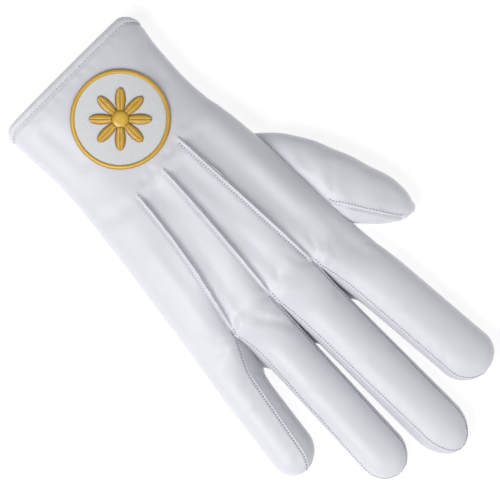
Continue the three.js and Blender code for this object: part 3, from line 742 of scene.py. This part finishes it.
def stitches(name, places, ways, ups, long=STITCH_LONG, thick=STITCH_THICK):
    """Short thread stitches at the places (millimetres), each lying along its way."""
    alone()
    bpy.ops.mesh.primitive_uv_sphere_add(segments=6, ring_count=4, radius=1)
    base = bpy.context.object
    base.name = name
    one = coords(base)
    apply(base, "ARRAY", count=len(places), use_relative_offset=False, use_constant_offset=True,
          constant_offset_displace=(0.01, 0, 0))
    ways = ways / np.linalg.norm(ways, axis=1)[:, None]
    cross = np.cross(ups, ways)
    cross /= np.linalg.norm(cross, axis=1)[:, None]
    ups = np.cross(ways, cross)
    half = np.clip(one[:, 2:3] * 1.35, -1, 1) * long / 2
    local = half[None] * ways[:, None] + (one[:, 0:1] * thick)[None] * cross[:, None]
    local = local + (one[:, 1:2] * thick * 0.8)[None] * ups[:, None]
    place(base, ((places[:, None] + local).reshape(-1, 3)) * MM)
    pick(base)
    bpy.ops.object.shade_smooth()
    return base


def run_of(line):
    """The distance along a line at each of its points."""
    return np.concatenate([[0], np.cumsum(np.linalg.norm(np.diff(line, axis=0), axis=1))])


def even(line, pitch):
    """Points at an even pitch along a line, with the way it runs at each."""
    run = run_of(line)
    at = np.arange(pitch / 2, run[-1], pitch)

    def points_at(where):
        return np.column_stack([np.interp(where, run, line[:, n]) for n in range(3)])

    return points_at(at), points_at(at + 0.3) - points_at(at - 0.3)


def laid_on(piece, line, pitch, sink=0.0, fall=False):
    """A stitch row on a piece: the line's points, in millimetres, go to its nearest face, or fall on it."""
    points, ways = even(line, pitch)
    spots, ups = [], []
    for p in points:
        if fall:
            above = Vector((p[0] * MM, p[1] * MM, 0.1))
            _, where, normal, _ = piece.ray_cast(above, Vector((0, 0, -1)))
        else:
            _, where, normal, _ = piece.closest_point_on_mesh(Vector(p * MM))
        spots.append(np.array(where) / MM + np.array(normal) * sink)
        ups.append(np.array(normal))
    return np.array(spots), ways, np.array(ups)


def seam_line(part, k, side, off=SEAM_OFF):
    """A line on a panel at a set distance from its left (-1) or right (1) seam, while it is wide enough."""
    v, u = np.linspace(0.972, 2.98, 240), np.linspace(0, 1, 60)
    left, right = inside_of(skin(part, k, *np.meshgrid(u, v)))
    run = left if side < 0 else right
    wide = run.max(axis=1)
    at = [np.interp(-side * min(off, w / 2), -side * r, u) for r, w in zip(run, wide)]
    return (skin(part, k, np.array(at), v) + SHIFT)[wide > 3.2 * off]


def back_row(x, y, pitch=STITCH_PITCH):
    """A stitch row that falls on the hand's back."""
    return laid_on(hand, np.column_stack([x, y, np.full(len(x), 26.0)]) + SHIFT, pitch, 0.03, True)


# The finger seams' rows, a row beside each raised point and a small tack at its start
bpy.context.view_layer.update()
rows, pale_rows = [], []
for k in range(4):
    for part in ("upper", "under"):
        if k > 0:
            rows.append(laid_on(hand, seam_line(part, k, -1), STITCH_PITCH, 0.1))
        if k < 3:
            rows.append(laid_on(hand, seam_line(part, k, 1), STITCH_PITCH, 0.1))
for i, crotch in enumerate(CROTCHES):
    y = np.linspace(crotch[5] * GLOVE_LENGTH + 3, crotch[1] * GLOVE_LENGTH - 7, 80)
    (rows if i == 0 else pale_rows).append(back_row(point_line(i, y) + 1.5, y))
for i, crotch in enumerate(CROTCHES):
    for step in (0.0, 0.5):
        y = np.full(2, crotch[5] * GLOVE_LENGTH + 1.5 + step)
        pale_rows.append(back_row(point_line(i, y) + (-0.6, 0.6), y, 1.2))
seam_thread = stitches("seam_stitches", *[np.concatenate(a) for a in zip(*rows)])
point_thread = stitches("point_stitches", *[np.concatenate(a) for a in zip(*pale_rows)])

line = np.array([(x - 1.05, y - 0.75, 30.0) for x, y in THUMB_SEAM])
thumb_thread = stitches("thumb_stitches", *laid_on(finger, line, STITCH_PITCH, 0.05, True))


def cuff_ring(along):
    """The cuff's loop on the leather, at a distance from its edge."""
    def strip(part, k, u):
        return skin(part, k, u[:-1], along / (panel_end(part, k, u[:-1]) - CUFF_Y))

    up, side_up = np.linspace(0, 1, 30), np.linspace(0, 1, 16)
    down, side_down = np.linspace(1, 0, 30), np.linspace(1, 0, 16)
    parts = [strip("upper", k, up) for k in range(4)] + [strip("right", 3, side_up)]
    parts += [strip("under", k, down) for k in (3, 2, 1, 0)] + [strip("left", 0, side_down)]
    return np.concatenate(parts)


def cuff_frame(along):
    """The same loop with the leather's outward normal at each point."""
    at, ahead = cuff_ring(along), cuff_ring(along + 0.6)
    out = np.cross(np.roll(at, -1, 0) - np.roll(at, 1, 0), ahead - at)
    return at, out / np.linalg.norm(out, axis=1)[:, None]


# The binding's section: distance from the cuff's edge, and from the leather's outer face
HEM = [
    (4.4, -0.1), (4.35, 0.2), (4.1, 0.36), (3.8, 0.42), (3.4, 0.68), (2.8, 0.95), (2.1, 1.08), (1.4, 1.02),
    (0.8, 0.84), (0.3, 0.5), (0.05, 0.05), (-0.05, -0.6), (0.05, -1.25), (0.3, -1.8), (0.8, -2.2),
    (1.4, -2.45), (2.1, -2.5), (2.8, -2.35), (3.4, -2.05), (4.0, -1.7), (4.4, -1.45), (4.3, -1.3),
    (2.6, -1.3), (0.9, -1.3), (0.75, -0.6), (0.9, 0.08), (2.6, 0.08), (4.2, 0.0),
]


def hem():
    """The binding: its section led round the cuff, a little puffed, and drawn in at the stitches."""
    frames = {a: cuff_frame(max(a, 0.0)) for a in {a for a, _ in HEM}}
    run = run_of(frames[BINDING_WIDE][0])
    pucker = 0.5 + 0.5 * np.cos(2 * math.pi * run / STITCH_PITCH / 2)
    slow = np.sin(run * 0.55 + 1.4 * np.sin(run * 0.21))
    columns = []
    for a, out in HEM + HEM[:1]:
        at, normal = frames[a]
        puff = max(out, -LEATHER - out, 0)
        near = math.exp(-((a - 3.6) / 0.9) ** 2) if out > 0.2 else 0
        extra = 0.16 * slow * puff * 0.5 - near * 0.22 * pucker
        extra = extra * (1 if out > -0.6 else -1)
        point = at + normal * (out + extra)[:, None]
        if a < 0:
            point[:, 1] += a
        columns.append(point)
    points = np.stack(columns, 1)
    points = np.concatenate([points, points[:1]], 0)
    piece = sheet(points, np.zeros(points.shape[:2]), True)
    piece.data.attributes.remove(piece.data.attributes["lift"])
    whole = merged([piece], "cuff_hem", 0.00001)
    bpy.ops.object.shade_smooth()
    return whole


cuff = hem()
bpy.context.view_layer.update()
at, normal = cuff_frame(3.85)
ring = np.concatenate([at + normal * 0.5, (at + normal * 0.5)[:1]]) + SHIFT
cuff_row = laid_on(cuff, ring, STITCH_PITCH * 1.25, 0.03)
cuff_thread = stitches("cuff_stitches", *cuff_row, long=1.2, thick=0.2)


def on_back(r, a, lift):
    """The point at a radius and angle round the badge's middle, lifted off the hand's back."""
    x, y = BADGE[0] + r * np.cos(a), BADGE[1] + r * np.sin(a)
    high, mid, centre, half = hand_section(y)
    z = mid + (high - mid) * upper_rise((x - centre) / half, HAND_POWER)
    return np.stack([x, y, cuff_trim(x, y, z)[..., 2] + lift], -1)


def cord_of(phase):
    """Rounded threads side by side, from 0 in the furrows to 1 on the crests."""
    return np.abs(np.sin(phase)) ** 0.8


def plain_sheet(points, name, flip=False, tone=None):
    """A sewn piece with no lift; tone, from 0 in the furrows to 1 on the crests, stays on its vertices and
    sets a painted shade in the furrows and a painted highlight on the crests.
    """
    piece = sheet(points, np.ones(points.shape[:2]) if tone is None else tone, flip)
    piece.data.attributes["lift"].name = "tone"
    whole = merged([piece], name, 0.000004)
    bpy.ops.object.shade_smooth()
    return whole


def badge_cloth():
    """The woven patch, a flat disc with its edge turned down."""
    edge = BADGE_RADIUS - BADGE_RING + 0.3
    a, r = np.meshgrid(np.linspace(0, 2 * math.pi, 181), np.linspace(0, 1, 60))
    wide = r * edge
    weave = 0.05 * np.sin(wide * np.cos(a) * 9) * np.sin(wide * np.sin(a) * 9)
    top = on_back(wide, a, 0.95 + weave)
    low = on_back(edge, a[-1:], 0.15)
    base = on_back(r[::-6] * edge, a[::-6], 0.15)
    return plain_sheet(np.concatenate([top, low, base[1:]]), "badge_cloth", True)


def badge_ring():
    """The corded ring round the patch: threads wound across a rounded section."""
    threads = 300
    a = np.linspace(0, 2 * math.pi, threads * 4 + 1)
    section = [(-0.08, 0.15), (0.0, 0.75), (0.12, 1.15), (0.3, 1.4), (0.5, 1.48), (0.7, 1.4), (0.88, 1.15),
               (1.0, 0.75), (1.04, 0.15), (-0.08, 0.15)]
    columns, painted_light_tones = [], []
    for share, high in section:
        twist = a + 0.03 * (share - 0.5)
        cord = cord_of(threads * twist / 2)
        rib = 0.2 * (cord - 0.5) * (high > 0.2)
        columns.append(on_back(BADGE_RADIUS - BADGE_RING * (1 - share), a, high + rib))
        # Painted shade and highlight: the tone is bright on the ring's crest and on each thread's crest,
        # and dark towards the ring's edges and in the furrows
        painted_light_tones.append((0.4 + 0.6 * cord) * min(max((high - 0.65) / 0.8, 0), 1))
    return plain_sheet(np.stack(columns, 1), "badge_border_thread", False, np.stack(painted_light_tones, 1))


def petal(n):
    """A petal in slanting satin stitch, with a dip along its middle."""
    root, long = 0.18, 0.45
    r = np.concatenate([np.linspace(root, root + long - 0.01, 126), [root + long]]) * BADGE_RADIUS
    half = np.arccos(np.clip((r / BADGE_RADIUS - root) / long, 0, 1) ** (1 / 0.9)) / (PETALS / 2)
    r, half = r[:, None], half[:, None]
    share = np.array([[-1, -0.97, -0.85, -0.6, -0.3, -0.04, 0, 0.04, 0.3, 0.6, 0.85, 0.97, 1]])
    a = 2 * math.pi * n / PETALS + half * share
    r = np.repeat(r, share.size, 1)
    cord = cord_of((r + 0.35 * BADGE_RADIUS * half * np.abs(share)) * math.pi / SATIN_PITCH)
    dome = (1 - np.abs(share) ** 2.5) * np.minimum(half / 0.1, 1)
    vein = bump(share, 0.05)
    top = 1.25 + 0.75 * dome + 0.14 * (cord - 0.5) * (np.abs(share) < 0.96) - 0.22 * vein
    edges = [on_back(r[:, c], a[:, c], 0.9) for c in (slice(0, 1), slice(-1, None))]
    points = np.concatenate([edges[0], on_back(r, a, top), edges[1]], 1)
    # Painted shade and highlight: the tone is bright on the dome and the stitches' crests, and dark towards
    # the petal's edges, in the furrows and along its middle dip
    tone = (0.35 + 0.65 * cord) * (0.05 + 0.95 * dome ** 1.3) * (1 - 0.85 * vein)
    return plain_sheet(points, "petal_%d" % n, False, np.pad(tone, ((0, 0), (1, 1))))


def knot():
    """The rosette's round middle."""
    a, r = np.meshgrid(np.linspace(0, 2 * math.pi, 97), np.linspace(0, 1, 26))
    wide = 0.2 * BADGE_RADIUS * r
    cord = cord_of(wide * np.cos(a) * math.pi / SATIN_PITCH)
    top = on_back(wide, a, 2.3 - 1.4 * r ** 4 + 0.14 * (cord - 0.5) * (r < 0.97))
    # Painted shade and highlight: the tone is bright on the stitches' crests, and dark in the furrows and
    # towards the knot's rim
    return plain_sheet(top, "knot", True, (0.35 + 0.65 * cord) * (1 - 0.85 * r ** 4))


cloth = badge_cloth()
border = badge_ring()
flower = merged([petal(n) for n in range(PETALS)] + [knot()], "badge_rosette_thread", 0.000001)
pick(flower)
bpy.ops.object.shade_smooth()


def shaded(name, rough, specular):
    """A new material and its shader."""
    material = bpy.data.materials.new(name)
    material.use_nodes = True
    shader = material.node_tree.nodes["Principled BSDF"]
    shader.inputs["Roughness"].default_value = rough
    shader.inputs["Specular IOR Level"].default_value = specular
    return material, shader


def texture(material, kind, scale, detail):
    """A procedural texture in the piece's own coordinates."""
    nodes = material.node_tree.nodes
    spot, made = nodes.new("ShaderNodeTexCoord"), nodes.new(kind)
    made.inputs["Scale"].default_value = scale
    made.inputs["Detail"].default_value = detail
    material.node_tree.links.new(spot.outputs["Object"], made.inputs["Vector"])
    return made


def scaled_sum(material, value, factor, other):
    """The sum of value * factor and other, which is a socket or a number."""
    made = material.node_tree.nodes.new("ShaderNodeMath")
    made.operation = "MULTIPLY_ADD"
    material.node_tree.links.new(value, made.inputs[0])
    made.inputs[1].default_value = factor
    if isinstance(other, float):
        made.inputs[2].default_value = other
    else:
        material.node_tree.links.new(other, made.inputs[2])
    return made.outputs[0]


def coloured(material, shader, dark, bright, share):
    """Base colour from dark to bright by a socket."""
    tone = material.node_tree.nodes.new("ShaderNodeMixRGB")
    tone.inputs[1].default_value = (*dark, 1)
    tone.inputs[2].default_value = (*bright, 1)
    material.node_tree.links.new(share, tone.inputs[0])
    material.node_tree.links.new(tone.outputs[0], shader.inputs["Base Color"])


def leather(name, colour, rough):
    """Smooth dyed leather with a fine grain and faint mottling."""
    material, shader = shaded(name, rough, 0.55)
    cloud = texture(material, "ShaderNodeTexNoise", 60, 5)
    coloured(material, shader, [c * 0.965 for c in colour], colour, cloud.outputs["Fac"])
    grain = texture(material, "ShaderNodeTexVoronoi", 1500, 0)
    soft = texture(material, "ShaderNodeTexNoise", 240, 4)
    relief = material.node_tree.nodes.new("ShaderNodeBump")
    relief.inputs["Strength"].default_value = 0.12
    relief.inputs["Distance"].default_value = 0.0002
    height = scaled_sum(material, soft.outputs["Fac"], 1.6, grain.outputs["Distance"])
    material.node_tree.links.new(height, relief.inputs["Height"])
    material.node_tree.links.new(relief.outputs["Normal"], shader.inputs["Normal"])
    return material


def thread(name, bright, dark, rough):
    """Sewing thread or cloth with fine strands."""
    material, shader = shaded(name, rough, 0.5)
    strand = texture(material, "ShaderNodeTexNoise", 900, 3)
    coloured(material, shader, dark, bright, strand.outputs["Fac"])
    return material


def thread_with_painted_light(name, bright, dark, rough):
    """Embroidery thread with painted shade and highlight: darker in the furrows of its stitches and
    brighter on their crests, by the piece's tone attribute.
    """
    material, shader = shaded(name, rough, 0.8)
    strand = texture(material, "ShaderNodeTexNoise", 900, 3)
    crest = material.node_tree.nodes.new("ShaderNodeAttribute")
    crest.attribute_name = "tone"
    furrow = scaled_sum(material, crest.outputs["Fac"], 0.85, 0.0)
    coloured(material, shader, dark, bright, scaled_sum(material, strand.outputs["Fac"], 0.16, furrow))
    return material


def finish(piece, material, body_slot, *replaced):
    """Gives a piece its material and body, and hides the solids it stands for; the slot it is given is not
    used.
    """
    piece.data.materials.clear()
    piece.data.materials.append(material)
    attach(piece, "root")
    if replaced:
        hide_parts(*replaced)


white = leather("white_leather", (0.745, 0.748, 0.79), 0.43)
# A darker copy of the white leather for the fourchettes: painted shade for the fingers' sides
side_white_painted_shade = leather("side_leather", (0.66, 0.66, 0.70), 0.5)
# Gold thread whose colour runs from painted shade in the furrows to painted highlight on the crests
gold_painted_light = thread_with_painted_light("gold_thread", (1.0, 0.62, 0.055), (0.18, 0.055, 0.002), 0.3)
cloth_grey = thread("badge_cloth", (0.78, 0.79, 0.81), (0.68, 0.69, 0.71), 0.9)
# Grey seam thread: partly the thread's own colour, partly darkened as painted shade of the stitch holes
seam_grey_hole_shade = thread("seam_thread", (0.34, 0.34, 0.4), (0.19, 0.19, 0.24), 0.6)
pale_grey = thread("pale_thread", (0.5, 0.5, 0.54), (0.38, 0.38, 0.42), 0.6)
faint_grey = thread("faint_thread", (0.68, 0.68, 0.72), (0.56, 0.56, 0.6), 0.6)

finish(hand, white, "white_leather", "trank")
finish(finger, white, "white_leather", "thumb")
# The fourchettes take the darker copy of the leather, which is painted shade
for fork, name in zip(forks, ("index_middle", "middle_ring", "ring_little")):
    finish(fork, side_white_painted_shade, "side_leather", "fourchette_" + name)
finish(cuff, white, "white_leather", "cuff_binding")
finish(cloth, cloth_grey, "badge_cloth", "badge_patch")
finish(border, gold_painted_light, "gold_thread", "badge_border")
finish(flower, gold_painted_light, "gold_thread", "badge_rosette")
finish(seam_thread, seam_grey_hole_shade, "white_leather")
finish(thumb_thread, seam_grey_hole_shade, "white_leather")
finish(cuff_thread, pale_grey, "white_leather")
finish(point_thread, faint_grey, "white_leather")

# Pale paper floor with a little light of its own, as the photo's background is blank
alone()
bpy.ops.mesh.primitive_plane_add(size=6, location=(0, 0, -0.0002))
floor = bpy.context.object
floor.name = "floor"
paper, paper_shader = shaded("paper", 0.9, 0.5)
paper_shader.inputs["Base Color"].default_value = (0.4, 0.4, 0.4, 1)
paper_shader.inputs["Emission Color"].default_value = (1, 1, 1, 1)
paper_shader.inputs["Emission Strength"].default_value = 0.75
floor.data.materials.append(paper)

# Soft lamps round the glove, the strongest from the little finger's side
VIEW_X, VIEW_Y = 0.0038, -0.0076


def lamp(name, at, size, power):
    """A square lamp that faces the glove's middle."""
    bpy.ops.object.light_add(type="AREA", location=at)
    light = bpy.context.object
    light.name = name
    light.data.size = size
    light.data.energy = power
    aim = Vector((VIEW_X, VIEW_Y, 0.01)) - light.location
    light.rotation_euler = aim.to_track_quat("-Z", "Y").to_euler()


lamp("key", (0.6, -0.02, 0.78), 0.6, 7.05)
lamp("fill", (0.12, 0.8, 0.62), 0.6, 2.0)
lamp("side", (-0.7, 0.12, 0.3), 0.5, 0.6)
world = bpy.data.worlds.new("studio")
world.use_nodes = True
world.node_tree.nodes["Background"].inputs["Color"].default_value = (0.93, 0.95, 1, 1)
world.node_tree.nodes["Background"].inputs["Strength"].default_value = 0.25
bpy.context.scene.world = world

# The camera looks straight down with a long lens, turned as in the photo
bpy.ops.object.camera_add(location=(VIEW_X, VIEW_Y, 1.284))
camera = bpy.context.object
camera.rotation_euler = (0, 0, math.radians(135))
camera.data.lens = 200
camera.data.sensor_width = 36
camera.data.clip_start = 0.01
bpy.context.scene.camera = camera
bpy.context.scene.view_settings.view_transform = "Standard"
